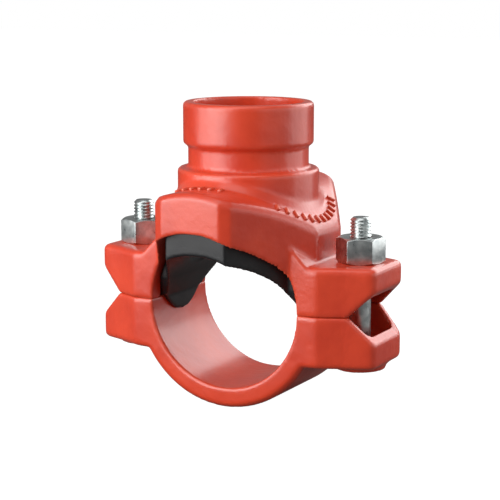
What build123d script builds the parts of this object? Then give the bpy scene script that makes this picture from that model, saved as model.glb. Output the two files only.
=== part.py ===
from build123d import *
import os
from math import cos, radians, sqrt, tan

# Bolted mechanical tee: a branch housing with a grooved outlet and a strap housing close round a
# run pipe, and a saddle gasket seals the hole in the pipe's wall. Millimetres.
# The origin is on the run axis below the outlet, on the plane where the two housings meet.
# +Z goes up the outlet, +Y along the run pipe, and +X from bolt to bolt.

# Pipes that the tee joins
run_pipe_diameter = 60.3
outlet_diameter = 48.3
outlet_bore_diameter = 40.6

# Run bore and the strap below it
run_clearance = 0.15
strap_wall = 7.5
strap_width = 40.4

# Grooved outlet, from its open end down
outlet_height = 74.0
seat_length = 15.9
groove_width = 8.4
groove_depth = 1.8
collar_step = 2.1
collar_flare = 2.6
outlet_edge = 0.9

# Saddle of the branch housing, seen from above: two noses along the run, two shoulders by the bolts
saddle_width = 86.0
saddle_crown = 14.5
nose_width = 28.4
nose_bevel = 2.6
shoulder_length = 67.0
shoulder_width = 19.8
shoulder_corner = 2.5
saddle_edge = 1.6

# Bolt pads, which both housings have
pad_length = 115.0
bolt_end_distance = 11.4
pad_end_width = 24.4
pad_waist_length = 93.4
pad_waist_width = 32.4
pad_root_length = 76.0
pad_corner = 3.0
pad_edge = 1.3
strap_edge = 1.6
pad_bevel = 9.6
pad_wall = 3.2
pad_height = 17.8
foot_height = 19.0
plate_thickness = 6.2
web_height = 9.6
web_run = 9.0
web_root = 33.5
pocket_wall = 3.4

# Bolts with an oval neck and a button head, and heavy hexagon nuts
bolt_diameter = 8.0
bolt_stand = 7.1
bolt_point = 1.1
bolt_hole_clearance = 0.6
neck_length = 11.0
neck_height = 4.0
neck_clearance = 0.25
head_diameter = 14.4
head_height = 4.4
head_bevel = 1.5
head_clearance = 0.5
head_boss_wall = 2.0
head_boss_drop = 2.4
nut_across_flats = 15.6
nut_height = 9.3
nut_bevel_angle = 30.0
nut_clearance = 0.4
left_nut_turn = -20.0
right_nut_turn = 22.0
thread_clearance = 0.06

# Saddle gasket, seated on the run pipe
gasket_thickness = 4.2
gasket_rim = 3.6
gasket_corner = 6.0
gasket_tongue_width = 27.0
gasket_bore_step = 1.2
gasket_clearance = 0.15
gasket_lift = 0.6

bore_radius = run_pipe_diameter / 2 + run_clearance
saddle_radius = bore_radius + saddle_crown
outlet_radius = outlet_diameter / 2
collar_radius = outlet_radius + collar_step
bolt_radius = bolt_diameter / 2
hole_radius = bolt_radius + bolt_hole_clearance
bolt_x = pad_length / 2 - bolt_end_distance
nut_across_corners = nut_across_flats / cos(radians(30))
nut_room = nut_across_corners / 2 + nut_clearance
nut_top = pad_height + nut_height
pocket_ceiling = pad_height - plate_thickness
head_seat = -(foot_height + head_boss_drop - head_height)
pocket_floor = head_seat + plate_thickness - head_boss_drop
reach = saddle_width + pad_length


def mirrored_outline(quarter):
    """A closed outline that is the same in all four quarters, from its corners in the first."""
    right = quarter + [(x, -y) for x, y in reversed(quarter)]
    return right + [(-x, -y) for x, y in right]


def prism(corners, rounding, bottom, top):
    """An upright block of this outline, with its upright corners rounded."""
    outline = make_face(Polyline(*corners, close=True))
    rounded = outline
    if rounding > 0:
        rounded = fillet(outline.vertices(), rounding)
    return extrude(Pos(0, 0, bottom) * rounded, top - bottom, dir=(0, 0, 1))


def across(corners, width):
    """A block whose outline is drawn on the XZ plane, as wide as stated along the run."""
    outline = make_face(Polyline(*[(x, 0, z) for x, z in corners], close=True))
    return extrude(outline, width / 2, dir=(0, 1, 0), both=True)


def run_cylinder(radius, length):
    """A round bar on the run pipe's axis."""
    return Rot(90, 0, 0) * Cylinder(radius, length)


def upright_cylinder(radius, bottom, top, x=0.0):
    """A round bar that stands on its end."""
    return Pos(x, 0, bottom) * Cylinder(radius, top - bottom, align=(Align.CENTER, Align.CENTER, Align.MIN))


def pad_outline(inset=0.0):
    """The outline of both pads and the strap between them, drawn in by a wall if one is given."""
    slope = inset * (pad_waist_width - pad_end_width) / (pad_length - pad_waist_length)
    return mirrored_outline([
        (pad_root_length / 2, strap_width / 2 - inset),
        (pad_waist_length / 2, pad_waist_width / 2 - inset),
        (pad_length / 2 - inset, pad_end_width / 2 - inset + slope),
    ])


def pad_bodies(side_profile):
    """The pads of one housing: their outline from above, cut to their outline from the front."""
    plan = prism(pad_outline(), pad_corner, -foot_height - 1, saddle_radius)
    body = plan & across(side_profile, strap_width + 1)
    rims = body.edges().filter_by(is_pad_rim)
    return chamfer(rims, pad_edge)


def is_pad_rim(edge):
    """Is this edge on the rim of a pad's outer face, away from the other housing?"""
    middle = edge.position_at(0.5)
    face_level = pad_height if middle.Z > 0 else -foot_height
    return abs(middle.Z - face_level) < 0.01 and abs(middle.X) > web_root + 1


def pad_pockets(bottom, top):
    """The hollows round the bolts, open towards the other housing."""
    inner = prism(pad_outline(pad_wall), pad_corner, bottom, top)
    gasket_reach = bore_radius + gasket_thickness + pocket_wall
    keep = Box(2 * gasket_reach, strap_width, 4 * saddle_radius)
    return inner - keep


def outlet_neck():
    """The grooved outlet, turned round its own axis, down into the saddle."""
    seat_bottom = outlet_height - seat_length
    groove_bottom = seat_bottom - groove_width
    profile = [
        (0, bore_radius),
        (collar_radius, bore_radius),
        (collar_radius, groove_bottom - outlet_edge),
        (collar_radius - outlet_edge, groove_bottom),
        (outlet_radius - groove_depth, groove_bottom),
        (outlet_radius - groove_depth, seat_bottom),
        (outlet_radius - outlet_edge, seat_bottom),
        (outlet_radius, seat_bottom + outlet_edge),
        (outlet_radius, outlet_height - outlet_edge),
        (outlet_radius - outlet_edge, outlet_height),
        (0, outlet_height),
    ]
    section = make_face(Polyline(*[(x, 0, z) for x, z in profile], close=True))
    return revolve(section, Axis.Z)


def saddle_plan():
    """The saddle from above: a flat nose over the pipe on each side, and a shoulder by each bolt."""
    corners = mirrored_outline([
        (nose_width / 2, saddle_width / 2),
        (shoulder_length / 2, shoulder_width / 2),
    ])
    return make_face(Polyline(*corners, close=True))


def saddle():
    """The body under the outlet: upright walls below a roof that follows the run pipe."""
    plan = saddle_plan()
    noses = plan.vertices().filter_by(lambda v: abs(v.Y) > shoulder_width)
    plan = chamfer(noses, nose_bevel)
    shoulders = plan.vertices().filter_by(lambda v: abs(abs(v.X) - shoulder_length / 2) < 0.01)
    plan = fillet(shoulders, shoulder_corner)
    body = extrude(plan, saddle_radius, dir=(0, 0, 1)) & run_cylinder(saddle_radius, reach)
    roof = body.faces().filter_by(GeomType.CYLINDER).sort_by(SortBy.AREA)[-1]
    return chamfer(roof.edges(), saddle_edge)


def gasket_form(thickness, clearance):
    """The gasket without its bores: the saddle's outline drawn in, with a tongue down each side."""
    plan = offset(saddle_plan(), clearance - gasket_rim, kind=Kind.INTERSECTION)
    plan = fillet(plan.vertices(), gasket_corner)
    pad = extrude(plan, reach, dir=(0, 0, 1))
    tongue_width = gasket_tongue_width + 2 * clearance
    tongues = Pos(0, 0, reach / 2) * Box(2 * reach, tongue_width, reach)
    shell = run_cylinder(bore_radius + thickness + clearance, reach)
    return (pad + tongues) & shell


def upper_housing():
    """Branch housing: saddle, grooved outlet, two bolt pads, and the gasket's pocket."""
    web_foot = web_root + 0.5
    profile = [
        (web_foot - web_run, pad_height + web_height),
        (web_foot, pad_height),
        (pad_length / 2, pad_height),
        (pad_length / 2, pad_bevel),
        (pad_length / 2 - pad_bevel, 0),
    ]
    left = [(-x, z) for x, z in reversed(profile)]
    pads = pad_bodies(profile + left)
    body = saddle() + outlet_neck()
    rings = body.edges().filter_by(lambda e: is_neck_root(e))
    body = chamfer(rings, collar_flare)
    body = body + pads
    body = body - run_cylinder(bore_radius, reach)
    body = body - gasket_form(gasket_thickness, gasket_clearance)
    body = body - upright_cylinder(outlet_bore_diameter / 2, 0, outlet_height + 1)
    body = body - pad_pockets(-1, pocket_ceiling)
    for side in (-1, 1):
        body = body - upright_cylinder(hole_radius, 0, pad_height + 1, side * bolt_x)
        body = body - upright_cylinder(nut_room, pad_height, saddle_radius, side * bolt_x)
    return body


def is_neck_root(edge):
    """Is this edge on the line where the outlet's collar meets the saddle's roof?"""
    point = edge.position_at(0.37)
    off_collar = abs(sqrt(point.X**2 + point.Y**2) - collar_radius)
    off_roof = abs(sqrt(point.X**2 + point.Z**2) - saddle_radius)
    return off_collar < 0.01 and off_roof < 0.01


def lower_housing():
    """Strap housing: a half ring under the run pipe, with two pads and seats for the bolt heads."""
    half = [
        (pad_length / 2 - pad_bevel, 0),
        (pad_length / 2, -pad_bevel),
        (pad_length / 2, -foot_height),
    ]
    left = [(-x, z) for x, z in reversed(half)]
    body = pad_bodies(half + left)
    ring = run_cylinder(bore_radius + strap_wall, strap_width)
    ring = chamfer(ring.edges().filter_by(GeomType.CIRCLE), strap_edge)
    below = Pos(0, 0, -reach / 2) * Box(2 * reach, 2 * reach, reach)
    body = body + (ring & below)
    boss_radius = head_diameter / 2 + head_clearance + head_boss_wall
    for side in (-1, 1):
        body = body + upright_cylinder(boss_radius, -foot_height - head_boss_drop, -foot_height + 1, side * bolt_x)
    body = body - run_cylinder(bore_radius, reach)
    body = body - pad_pockets(pocket_floor, 1)
    for side in (-1, 1):
        recess = head_diameter / 2 + head_clearance
        body = body - upright_cylinder(recess, -foot_height - head_boss_drop - 1, head_seat, side * bolt_x)
        body = body - bolt_neck(side * bolt_x, neck_clearance, pocket_floor + 1)
        body = body - upright_cylinder(hole_radius, pocket_floor, 1, side * bolt_x)
    return body


def bolt_neck(x, clearance, top):
    """The oval neck, and with a clearance the oval hole for it."""
    width = bolt_diameter + 2 * clearance
    oval = SlotOverall(neck_length + 2 * clearance, width)
    return extrude(Pos(x, 0, head_seat) * oval, top - head_seat, dir=(0, 0, 1))


def bolt(x):
    """Track bolt: button head, oval neck that stops it turning, round shank with a bevelled end."""
    tip = nut_top + bolt_stand
    shank = upright_cylinder(bolt_radius, head_seat - head_height / 2, tip, x)
    shank = chamfer(shank.edges().sort_by(Axis.Z)[-1], bolt_point)
    head = upright_cylinder(head_diameter / 2, head_seat - head_height, head_seat, x)
    head = chamfer(head.edges().sort_by(Axis.Z)[0], head_bevel)
    return shank + head + bolt_neck(x, 0, head_seat + neck_height)


def nut(x, turn):
    """Heavy hexagon nut with its corners bevelled at both ends, left at this angle when tightened."""
    hexagon = RegularPolygon(nut_across_corners / 2, 6, rotation=turn)
    body = extrude(Pos(x, 0, pad_height) * hexagon, nut_height, dir=(0, 0, 1))
    bevel_length = (nut_across_corners - nut_across_flats) / 2 + 0.3
    bevel_height = bevel_length * tan(radians(nut_bevel_angle))
    rounder = upright_cylinder(nut_across_corners / 2 + 0.15, pad_height, nut_top, x)
    rounder = chamfer(rounder.edges().filter_by(GeomType.CIRCLE), bevel_height, bevel_length)
    bore = upright_cylinder(bolt_radius + thread_clearance, pad_height - 1, nut_top + 1, x)
    return (body & rounder) - bore


def gasket():
    """Saddle gasket between the housing's pocket and the run pipe."""
    body = gasket_form(gasket_thickness, 0)
    body = body - run_cylinder(bore_radius, reach)
    body = body - upright_cylinder(outlet_bore_diameter / 2 + gasket_bore_step, 0, reach)
    above = Pos(0, 0, gasket_lift + reach / 2) * Box(2 * reach, 2 * reach, reach)
    return body & above


pieces = {
    "upper_housing": upper_housing(),
    "lower_housing": lower_housing(),
    "gasket": gasket(),
    "bolt_left": bolt(-bolt_x),
    "bolt_right": bolt(bolt_x),
    "nut_left": nut(-bolt_x, left_nut_turn),
    "nut_right": nut(bolt_x, right_nut_turn),
}

os.makedirs("parts", exist_ok=True)
for name, solid in pieces.items():
    export_step(solid, f"parts/{name}.step")
    print(name, "volume", round(solid.volume), "mm3", len(solid.solids()), "solid")
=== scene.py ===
from math import atan2, cos, pi, radians, sin, sqrt

import bpy
from mathutils import Matrix, Vector


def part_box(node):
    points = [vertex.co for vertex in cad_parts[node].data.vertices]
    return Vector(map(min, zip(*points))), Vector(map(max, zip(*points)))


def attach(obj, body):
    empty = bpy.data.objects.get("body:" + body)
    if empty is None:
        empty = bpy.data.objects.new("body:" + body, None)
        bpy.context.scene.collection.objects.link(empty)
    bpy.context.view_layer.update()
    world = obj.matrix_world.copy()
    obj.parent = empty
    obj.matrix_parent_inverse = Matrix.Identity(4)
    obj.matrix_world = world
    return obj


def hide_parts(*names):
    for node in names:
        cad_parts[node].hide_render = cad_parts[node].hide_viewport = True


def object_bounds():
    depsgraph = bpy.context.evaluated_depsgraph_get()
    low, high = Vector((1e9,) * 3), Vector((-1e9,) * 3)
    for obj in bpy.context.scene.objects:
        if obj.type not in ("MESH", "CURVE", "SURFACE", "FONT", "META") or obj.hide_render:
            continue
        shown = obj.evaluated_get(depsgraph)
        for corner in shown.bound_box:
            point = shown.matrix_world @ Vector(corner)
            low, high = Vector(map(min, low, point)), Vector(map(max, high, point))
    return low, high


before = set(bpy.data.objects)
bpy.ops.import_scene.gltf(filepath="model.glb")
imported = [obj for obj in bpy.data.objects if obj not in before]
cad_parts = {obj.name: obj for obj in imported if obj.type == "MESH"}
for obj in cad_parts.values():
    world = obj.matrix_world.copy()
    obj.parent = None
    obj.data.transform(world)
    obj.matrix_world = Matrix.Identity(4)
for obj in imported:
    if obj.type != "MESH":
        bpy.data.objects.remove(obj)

cad_box = [list(corner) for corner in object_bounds()]


# ---------------------------------------------------------------------------
# The view: the tee stands as it is fitted on a level pipe, seen from its front right and a little
# from above, some 0.6 m away, with a short telephoto lens.
# ---------------------------------------------------------------------------
MM = 0.001
view_azimuth = radians(28.68)
view_elevation = radians(10.06)
view_distance = 589.8 * MM
aim_height = 18.2 * MM
aim_right = 0.55 * MM
sensor_width = 36
focal_length = 113.4


def direction(azimuth, elevation):
    """The way towards a point this far round from the front and this far up, in radians."""
    return Vector((
        sin(azimuth) * cos(elevation),
        -cos(azimuth) * cos(elevation),
        sin(elevation),
    ))


bpy.ops.object.select_all(action="DESELECT")
aim = Vector((cos(view_azimuth) * aim_right, sin(view_azimuth) * aim_right, aim_height))
bpy.ops.object.camera_add(
    location=aim + direction(view_azimuth, view_elevation) * view_distance,
    rotation=(pi / 2 - view_elevation, 0, view_azimuth),
)
camera = bpy.context.object
camera.data.sensor_width = sensor_width
camera.data.lens = focal_length
camera.data.clip_start = 10 * MM
camera.data.clip_end = 20000 * MM
bpy.context.scene.camera = camera
bpy.context.scene.view_settings.view_transform = "Standard"


# ---------------------------------------------------------------------------
# Branch housing: one ductile iron casting, from the saddle on the run pipe up to the grooved outlet,
# with a hollow bolt pad on each side. It is cast in sand, so its corners are soft and its skin is a
# little uneven, its outlet is turned, and all of it is dipped in satin orange-red paint.
# ---------------------------------------------------------------------------
branch_grain = 0.66 * MM
casting_passes = 5
turned_above = 47 * MM
turned_share = 0.12
pads_beyond = 35 * MM
pad_blend = 2 * MM
seam_width = 0.002 * MM


class Signal:
    """A number or a colour on its way through a finish's nodes, with arithmetic on numbers."""

    def __init__(self, finish, socket):
        self.finish = finish
        self.socket = socket

    def _maths(self, operation, other):
        settings = {"operation": operation}
        return self.finish.node("ShaderNodeMath", settings, {0: self, 1: other})

    def __add__(self, other):
        return self._maths("ADD", other)

    __radd__ = __add__

    def __mul__(self, other):
        return self._maths("MULTIPLY", other)

    __rmul__ = __mul__


class Finish:
    """The look of a material or of the air round the part, which is built up node by node."""

    def __init__(self, owner):
        self.owner = owner
        owner.use_nodes = True
        self.tree = owner.node_tree
        self.tree.nodes.clear()

    def node(self, kind, settings, inputs, output=0):
        """Add one node: its settings first, then its sockets, which take values or signals."""
        node = self.tree.nodes.new(kind)
        for name, value in settings.items():
            setattr(node, name, value)
        for name, value in inputs.items():
            socket = node.inputs[name]
            if isinstance(value, Signal):
                self.tree.links.new(value.socket, socket)
            else:
                socket.default_value = value
        if len(node.outputs) == 0:
            return self.owner
        return Signal(self, node.outputs[output])

    def noise(self, size, detail, roughness=0.5):
        """Cloudy noise on the piece's own coordinates, whose blotches are about this size."""
        place = self.node("ShaderNodeTexCoord", {}, {}, "Object")
        inputs = {"Vector": place, "Scale": 1 / size, "Detail": detail, "Roughness": roughness}
        return self.node("ShaderNodeTexNoise", {}, inputs)

    def fade(self, value, low, high):
        """0 where the value is at low, 1 where it is at high, and smooth between them."""
        settings = {"interpolation_type": "SMOOTHSTEP"}
        inputs = {"Value": value, "From Min": low, "From Max": high}
        return self.node("ShaderNodeMapRange", settings, inputs)

    def mix(self, amount, first, second):
        """This amount of the second colour over the first."""
        return self.node("ShaderNodeMix", {"data_type": "RGBA"}, {0: amount, 6: first, 7: second}, 2)

    def bump(self, height, distance, under=None):
        """Relief of this height, on top of the relief under it."""
        inputs = {"Height": height, "Distance": distance}
        if under is not None:
            inputs["Normal"] = under
        return self.node("ShaderNodeBump", {}, inputs)

    def surface(self, sockets):
        """Close the material with a shader whose sockets take these values or signals."""
        shader = self.node("ShaderNodeBsdfPrincipled", {}, sockets)
        return self.node("ShaderNodeOutputMaterial", {}, {"Surface": shader})


def painted_iron():
    """Satin orange-red paint on sand cast iron, with a painted highlight on its corners and painted
    shade in its hollows.
    """
    paint = Finish(bpy.data.materials.new("orange_red_paint_on_cast_iron"))
    waves = paint.noise(6 * MM, detail=2)
    sand = paint.noise(1.3 * MM, detail=3, roughness=0.6)
    clouds = paint.noise(22 * MM, detail=3)
    corners = paint.node("ShaderNodeNewGeometry", {}, {}, "Pointiness")
    # Painted highlight: the paint is made lighter on sharp corners, where light catches them.
    painted_edge_highlight = paint.fade(corners + 0.02 * sand, 0.52, 0.60)
    # Painted shade: the paint is made darker in creases and hollows, where shade falls.
    painted_crease_shade = paint.fade(corners, 0.48, 0.42)
    cloudy = paint.fade(clouds, 0.35, 0.65)
    colour = paint.mix(cloudy, (0.60, 0.040, 0.013, 1), (0.70, 0.056, 0.018, 1))
    # Lighter colour on the corners: a painted highlight.
    colour = paint.mix(0.4 * painted_edge_highlight, colour, (0.80, 0.16, 0.075, 1))
    # Darker colour in the hollows: painted shade.
    colour = paint.mix(0.55 * painted_crease_shade, colour, (0.30, 0.010, 0.008, 1))
    relief = paint.bump(waves, 0.25 * MM)
    relief = paint.bump(sand, 0.055 * MM, relief)
    return paint.surface({
        "Base Color": colour,
        "Roughness": 0.30 + 0.12 * sand,
        "Coat Weight": 0.5,
        "Coat Roughness": 0.2,
        "Normal": relief,
    })


def select_only(*pieces):
    """Select these pieces and nothing else, with the first of them active."""
    bpy.ops.object.select_all(action="DESELECT")
    for piece in pieces:
        piece.select_set(True)
    bpy.context.view_layer.objects.active = pieces[0]


def own_copy(piece, name):
    """A copy of the piece, with a mesh of its own."""
    copy = bpy.data.objects.new(name, piece.data.copy())
    bpy.context.scene.collection.objects.link(copy)
    return copy


def merged_copy(node, name):
    """A copy of a CAD node whose faces share their corners."""
    piece = own_copy(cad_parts[node], name)
    select_only(piece)
    bpy.ops.object.mode_set(mode="EDIT")
    bpy.ops.mesh.select_all(action="SELECT")
    bpy.ops.mesh.remove_doubles(threshold=seam_width)
    bpy.ops.object.mode_set(mode="OBJECT")
    return piece


def shape_with(piece, kind, settings):
    """Put a modifier with these settings on the piece, and apply it."""
    select_only(piece)
    modifier = piece.modifiers.new(kind, kind)
    for name, value in settings.items():
        setattr(modifier, name, value)
    bpy.ops.object.modifier_apply(modifier=modifier.name)


def soften(piece, grain, passes):
    """Take the sharp corners off, as a mould and the skin of a casting or moulding do."""
    shape_with(piece, "REMESH", {"mode": "VOXEL", "voxel_size": grain, "use_smooth_shade": True})
    skin = piece.vertex_groups.new(name="skin")
    pads = piece.vertex_groups.new(name="pads")
    for corner in piece.data.vertices:
        turned = corner.co.z > turned_above
        skin.add([corner.index], turned_share if turned else 1, "REPLACE")
        beyond_pads = abs(corner.co.x) - pads_beyond
        pads.add([corner.index], min(1, max(0, beyond_pads) / pad_blend), "REPLACE")
    shape_with(piece, "SMOOTH", {"factor": 0.5, "iterations": passes, "vertex_group": "skin"})
    shape_with(piece, "SMOOTH", {"factor": 0.5, "iterations": 2 * passes, "vertex_group": "pads"})
    bpy.ops.object.shade_smooth()


def dress(piece, material, body, slot, *nodes):
    """Give the finished piece its surface and its body, and let it stand for these CAD nodes."""
    piece.data.materials.clear()
    piece.data.materials.append(material)
    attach(piece, body)
    if nodes:
        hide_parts(*nodes)


housing_paint = painted_iron()
branch_housing = merged_copy("upper_housing", "branch_housing")
soften(branch_housing, branch_grain, casting_passes)
dress(branch_housing, housing_paint, "branch", "housing_paint", "upper_housing")


# ---------------------------------------------------------------------------
# Raised bars on the saddle round the foot of the outlet: plain ribs that are cast with the branch
# housing and stand a little proud of its skin, in two groups on each side.
# ---------------------------------------------------------------------------
bar_length = 3.4 * MM
bar_width = 1.3 * MM
bar_height = 1.2 * MM
bar_bevel = 0.28 * MM
bar_lift = 0.1 * MM
ring_radius = 30.9 * MM
roof_radius = 44.9 * MM
long_group = list(range(-42, 40, 7))
short_group = list(range(-115, -74, 7))
front_bars = long_group + short_group
rear_bars = [angle + 180 for angle in front_bars]

bpy.ops.object.select_all(action="DESELECT")
bpy.ops.mesh.primitive_cube_add(size=1)
pattern = bpy.context.object
pattern.scale = (bar_length, bar_width, bar_height)
bpy.ops.object.transform_apply(scale=True)
shape_with(pattern, "BEVEL", {"width": bar_bevel, "segments": 2})
bpy.ops.object.shade_smooth()
bars = []
for angle in front_bars + rear_bars:
    across = Vector((cos(radians(angle)), sin(radians(angle)), 0))
    foot = across * ring_radius
    foot.z = sqrt(roof_radius**2 - foot.x**2)
    up = Vector((foot.x, 0, foot.z)).normalized()
    outward = (across - up * across.dot(up)).normalized()
    sideways = up.cross(outward)
    turn = Matrix((outward, sideways, up)).transposed().to_4x4()
    bar = own_copy(pattern, "cast_bar")
    bar.data.transform(Matrix.Translation(foot + up * bar_lift) @ turn)
    bars.append(bar)
bpy.data.objects.remove(pattern)
select_only(*bars)
bpy.ops.object.join()
cast_bars = bpy.context.object
cast_bars.name = "cast_bars"
dress(cast_bars, housing_paint, "branch", "housing_paint")


# ---------------------------------------------------------------------------
# Saddle gasket: one moulding of black rubber, in a pocket of the branch housing round the hole in
# the run pipe. With no pipe in the tee it stands into the bore, and a tongue hangs down each side.
# ---------------------------------------------------------------------------
gasket_grain = 0.42 * MM
gasket_passes = 12
gasket_outside = 34.3 * MM
gasket_foot = 0.6 * MM
gasket_half_length = 39.4 * MM
gasket_corners = [(12.1, 39.4), (27.2, 13.5), (34.6, 13.5)]
waterway_radius = 21.5 * MM
bore_half_width = 26.0 * MM
bore_half_height = 21.8 * MM
bore_arch = range(20, 161, 4)
tongue_outside = 30.0 * MM
tongue_inside = 28.6 * MM
tongue_corners = [
    (17, 22), (16.5, 8), (15.2, 4.4), (13.2, 1.2), (10.8, -1.6), (8, -4.2), (4.6, -6.2), (0, -6.9),
]
well_below = -20 * MM
right_through = 100 * MM


def black_rubber():
    """Black moulded rubber: a faint bloom, and the fine grain of the mould."""
    rubber = Finish(bpy.data.materials.new("black_moulded_rubber"))
    bloom = rubber.noise(9 * MM, detail=4)
    grain = rubber.noise(0.6 * MM, detail=2)
    bloomed = rubber.fade(bloom, 0.35, 0.70)
    relief = rubber.bump(bloom, 0.12 * MM)
    relief = rubber.bump(grain, 0.02 * MM, relief)
    return rubber.surface({
        "Base Color": rubber.mix(bloomed, (0.007, 0.007, 0.008, 1), (0.015, 0.016, 0.017, 1)),
        "Roughness": 0.30 + 0.14 * bloom,
        "Normal": relief,
    })


def add_bar(radius, length, axis, height=0):
    """A round bar along Y or Z, centred over the origin at this height."""
    bpy.ops.object.select_all(action="DESELECT")
    turn = {"Y": (pi / 2, 0, 0), "Z": (0, 0, 0)}[axis]
    bpy.ops.mesh.primitive_cylinder_add(vertices=128, radius=1, depth=1, rotation=turn)
    bar = bpy.context.object
    bpy.ops.object.transform_apply(rotation=True)
    bar.scale = {"Y": (radius, length, radius), "Z": (radius, radius, length)}[axis]
    bpy.ops.object.transform_apply(scale=True)
    bar.location = (0, 0, height)
    bpy.ops.object.transform_apply(location=True)
    return bar


def add_block(low, high):
    """A block between these two corners."""
    bpy.ops.object.select_all(action="DESELECT")
    bpy.ops.mesh.primitive_cube_add(size=1)
    block = bpy.context.object
    block.scale = [end - start for start, end in zip(low, high)]
    block.location = [(end + start) / 2 for start, end in zip(low, high)]
    bpy.ops.object.transform_apply(location=True, scale=True)
    return block


def add_stencil(outline, through):
    """A block with this outline, as deep as the way through it is long."""
    bpy.ops.object.select_all(action="DESELECT")
    bpy.ops.mesh.primitive_circle_add(vertices=len(outline), radius=1, fill_type="NGON")
    stencil = bpy.context.object
    for corner, point in zip(stencil.data.vertices, outline):
        corner.co = Vector(point) - through / 2
    bpy.ops.object.mode_set(mode="EDIT")
    bpy.ops.mesh.select_all(action="SELECT")
    bpy.ops.mesh.extrude_region_move(TRANSFORM_OT_translate={"value": through})
    bpy.ops.mesh.select_all(action="SELECT")
    bpy.ops.mesh.normals_make_consistent(inside=False)
    bpy.ops.object.mode_set(mode="OBJECT")
    return stencil


def combine(piece, operation, tool):
    """Join, cut or trim the piece with a tool, which is used up."""
    shape_with(piece, "BOOLEAN", {"operation": operation, "object": tool, "solver": "EXACT"})
    bpy.data.objects.remove(tool)


gasket = add_bar(gasket_outside, 2 * gasket_half_length, "Y")
above_foot = add_block(
    (-right_through, -right_through, gasket_foot),
    (right_through, right_through, right_through),
)
combine(gasket, "INTERSECT", above_foot)
right_half = gasket_corners + [(x, -y) for x, y in reversed(gasket_corners)]
plan = right_half + [(-x, -y) for x, y in right_half]
plan = [(x * MM, y * MM, 0) for x, y in plan]
combine(gasket, "INTERSECT", add_stencil(plan, Vector((0, 0, right_through))))

tongues = add_bar(tongue_outside, right_through, "Y")
side_view = tongue_corners + [(-y, z) for y, z in reversed(tongue_corners[:-1])]
side_view = [(0, y * MM, z * MM) for y, z in side_view]
combine(tongues, "INTERSECT", add_stencil(side_view, Vector((right_through, 0, 0))))
combine(gasket, "UNION", tongues)

bore = []
for angle in bore_arch:
    bore.append((bore_half_width * cos(radians(angle)), 0, bore_half_height * sin(radians(angle))))
bore += [(-tongue_inside, 0, 0), (-tongue_inside, 0, well_below)]
bore += [(tongue_inside, 0, well_below), (tongue_inside, 0, 0)]
combine(gasket, "DIFFERENCE", add_stencil(bore, Vector((0, right_through, 0))))
waterway = add_bar(waterway_radius, right_through, "Z", right_through / 2)
combine(gasket, "DIFFERENCE", waterway)
gasket.name = "saddle_gasket"
soften(gasket, gasket_grain, gasket_passes)
dress(gasket, black_rubber(), "branch", "gasket_rubber", "gasket")


# ---------------------------------------------------------------------------
# Strap housing: the other iron casting, a half ring under the run pipe with the same hollow pads,
# cast and painted as the branch housing is.
# ---------------------------------------------------------------------------
strap_grain = 0.66 * MM
strap_housing = merged_copy("lower_housing", "strap_housing")
soften(strap_housing, strap_grain, casting_passes)
dress(strap_housing, housing_paint, "strap", "housing_paint", "lower_housing")


# ---------------------------------------------------------------------------
# Track bolts: forged steel, zinc plated. A button head sits in the recess under the strap's pad, an
# oval neck keeps it from turning, and the end of the shank has a rolled thread of 1.25 mm pitch.
# ---------------------------------------------------------------------------
thread_radius = 4.0 * MM
thread_depth = 0.68 * MM
thread_pitch = 1.25 * MM
thread_start = 9.0 * MM
thread_sides = 48
rings_per_turn = 8
tip_bevel = 1.1 * MM
head_radius = 7.2 * MM
head_height = 4.4 * MM
thread_smooth = radians(50)
head_smooth = radians(40)
bolt_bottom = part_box("bolt_left")[0].z
bolt_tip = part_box("bolt_left")[1].z
seat = bolt_bottom + head_height
blank_profile = [
    (0, bolt_bottom),
    (4.4 * MM, bolt_bottom),
    (6.0 * MM, bolt_bottom + 0.45 * MM),
    (6.9 * MM, bolt_bottom + 1.3 * MM),
    (head_radius, bolt_bottom + 2.4 * MM),
    (head_radius, seat - 0.2 * MM),
    (head_radius - 0.2 * MM, seat),
    (thread_radius, seat),
    (thread_radius - 0.1 * MM, thread_start),
    (0, thread_start),
]


def zinc_plate():
    """Bright zinc: faintly mottled, with the soft gloss of a plated forging."""
    zinc = Finish(bpy.data.materials.new("bright_zinc_plate"))
    mottle = zinc.noise(2.4 * MM, detail=4)
    grain = zinc.noise(0.35 * MM, detail=2)
    mottled = zinc.fade(mottle, 0.3, 0.7)
    relief = zinc.bump(mottle, 0.05 * MM)
    relief = zinc.bump(grain, 0.008 * MM, relief)
    return zinc.surface({
        "Base Color": zinc.mix(mottled, (0.46, 0.50, 0.50, 1), (0.66, 0.69, 0.68, 1)),
        "Metallic": 1.0,
        "Roughness": 0.22 + 0.16 * mottle,
        "Normal": relief,
    })


zinc = zinc_plate()
bpy.ops.object.select_all(action="DESELECT")
bpy.ops.mesh.primitive_cylinder_add(vertices=thread_sides, radius=thread_radius, depth=1)
shank = bpy.context.object
shank.scale.z = bolt_tip - thread_start
shank.location.z = (bolt_tip + thread_start) / 2
bpy.ops.object.transform_apply(location=True, scale=True)
rings = int((bolt_tip - thread_start) / (thread_pitch / rings_per_turn))
bpy.ops.object.mode_set(mode="EDIT")
for ring in range(1, rings):
    height = thread_start + (bolt_tip - thread_start) * ring / rings
    bpy.ops.mesh.select_all(action="SELECT")
    bpy.ops.mesh.bisect(plane_co=(0, 0, height), plane_no=(0, 0, 1))
bpy.ops.object.mode_set(mode="OBJECT")
for corner in shank.data.vertices:
    angle = atan2(corner.co.y, corner.co.x)
    turn = (corner.co.z / thread_pitch - angle / (2 * pi)) % 1
    depth = thread_depth * (1 - abs(2 * turn - 1))
    bevel = max(0, corner.co.z - (bolt_tip - tip_bevel))
    radius = min(thread_radius - depth, thread_radius - bevel)
    corner.co.x = radius * cos(angle)
    corner.co.y = radius * sin(angle)
bpy.ops.object.shade_smooth_by_angle(angle=thread_smooth)

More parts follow.
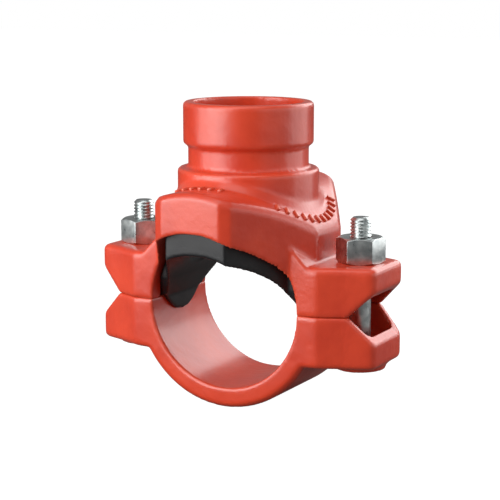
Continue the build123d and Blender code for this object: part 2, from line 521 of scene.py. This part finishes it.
bpy.ops.object.select_all(action="DESELECT")
bpy.ops.mesh.primitive_circle_add(vertices=len(blank_profile), radius=1, fill_type="NOTHING")
blank = bpy.context.object
for corner, (radius, height) in zip(blank.data.vertices, blank_profile):
    corner.co = (radius, 0, height)
bpy.ops.object.mode_set(mode="EDIT")
bpy.ops.mesh.select_all(action="SELECT")
bpy.ops.mesh.spin(steps=64, angle=2 * pi, center=(0, 0, 0), axis=(0, 0, 1))
bpy.ops.mesh.select_all(action="SELECT")
bpy.ops.mesh.remove_doubles(threshold=seam_width)
bpy.ops.mesh.normals_make_consistent(inside=False)
bpy.ops.object.mode_set(mode="OBJECT")
bpy.ops.object.shade_smooth_by_angle(angle=head_smooth)

for side in ("left", "right"):
    low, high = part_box("bolt_" + side)
    place = Vector(((low.x + high.x) / 2, (low.y + high.y) / 2, 0))
    parts = [own_copy(part, "zinc_bolt_" + side) for part in (shank, blank)]
    for part in parts:
        part.data.transform(Matrix.Translation(place))
    select_only(*parts)
    bpy.ops.object.join()
    dress(bpy.context.object, zinc, "strap", "zinc", "bolt_" + side)
bpy.data.objects.remove(shank)
bpy.data.objects.remove(blank)


# ---------------------------------------------------------------------------
# Heavy hexagon nuts: steel, zinc plated, each screwed down on its bolt against the branch housing's
# pad, and left at its own angle.
# ---------------------------------------------------------------------------
nut_easing = {
    "width": 0.3 * MM,
    "segments": 3,
    "limit_method": "ANGLE",
    "angle_limit": radians(24),
}
nut_smooth = radians(35)

for side in ("left", "right"):
    nut = merged_copy("nut_" + side, "zinc_nut_" + side)
    shape_with(nut, "BEVEL", nut_easing)
    bpy.ops.object.shade_smooth_by_angle(angle=nut_smooth)
    dress(nut, zinc, side + "_nut", "zinc", "nut_" + side)


# ---------------------------------------------------------------------------
# Studio: a plain white floor and background, a large soft box at the front left and a low one near
# it, a wide dim one on the right, a small one and a large one behind, and one above. The rest of the
# room is dim, which keeps the paint's colour deep between their reflections.
# ---------------------------------------------------------------------------
room_strength = 0.22
floor_size = 6000 * MM
floor_glow = 1.18
glow_share = 0.86


def add_soft_box(name, azimuth, elevation, distance, width, height, power):
    """A soft box that faces the part: its place in degrees and metres, its size and its watts."""
    bpy.ops.object.select_all(action="DESELECT")
    away = direction(radians(azimuth), radians(elevation))
    bpy.ops.object.light_add(type="AREA", location=away * distance + Vector((0, 0, aim_height)))
    lamp = bpy.context.object
    lamp.name = name
    lamp.rotation_euler = away.to_track_quat("Z", "Y").to_euler()
    lamp.data.shape = "RECTANGLE"
    lamp.data.size = width
    lamp.data.size_y = height
    lamp.data.energy = power
    lamp.visible_camera = False


add_soft_box("left_soft_box", -24, 26, 0.8, 0.70, 0.90, 5.2)
add_soft_box("low_soft_box", -40, 8, 0.34, 0.34, 0.20, 0.62)
add_soft_box("right_soft_box", 84, 18, 0.9, 1.30, 0.70, 2.0)
add_soft_box("rear_soft_box", 128, 12, 0.34, 0.30, 0.22, 0.36)
add_soft_box("top_soft_box", 10, 75, 0.9, 0.60, 0.60, 1.6)
add_soft_box("back_soft_box", 162, 30, 0.9, 0.80, 0.60, 4.4)

bpy.ops.object.select_all(action="DESELECT")
bpy.ops.mesh.primitive_plane_add(size=floor_size, location=(0, 0, cad_box[0][2]))
floor = bpy.context.object
floor.name = "white_floor"
white = Finish(bpy.data.materials.new("white_floor"))
seen = white.node("ShaderNodeLightPath", {}, {}, "Is Camera Ray")
dim = white.node("ShaderNodeBsdfDiffuse", {}, {"Color": (0.13, 0.13, 0.13, 1)})
matte = white.node("ShaderNodeBsdfDiffuse", {}, {"Color": (0.80, 0.80, 0.80, 1)})
glow = white.node("ShaderNodeEmission", {}, {"Color": (1, 1, 1, 1), "Strength": floor_glow})
bright = white.node("ShaderNodeMixShader", {}, {0: glow_share, 1: matte, 2: glow})
both = white.node("ShaderNodeMixShader", {}, {0: seen, 1: dim, 2: bright})
floor.data.materials.append(white.node("ShaderNodeOutputMaterial", {}, {"Surface": both}))

air = Finish(bpy.data.worlds.new("studio_air"))
seen = air.node("ShaderNodeLightPath", {}, {}, "Is Camera Ray")
room = air.node("ShaderNodeBackground", {}, {"Color": (1, 1, 1, 1), "Strength": room_strength})
backdrop = air.node("ShaderNodeBackground", {}, {"Color": (1, 1, 1, 1), "Strength": 1})
both = air.node("ShaderNodeMixShader", {}, {0: seen, 1: room, 2: backdrop})
bpy.context.scene.world = air.node("ShaderNodeOutputWorld", {}, {"Surface": both})
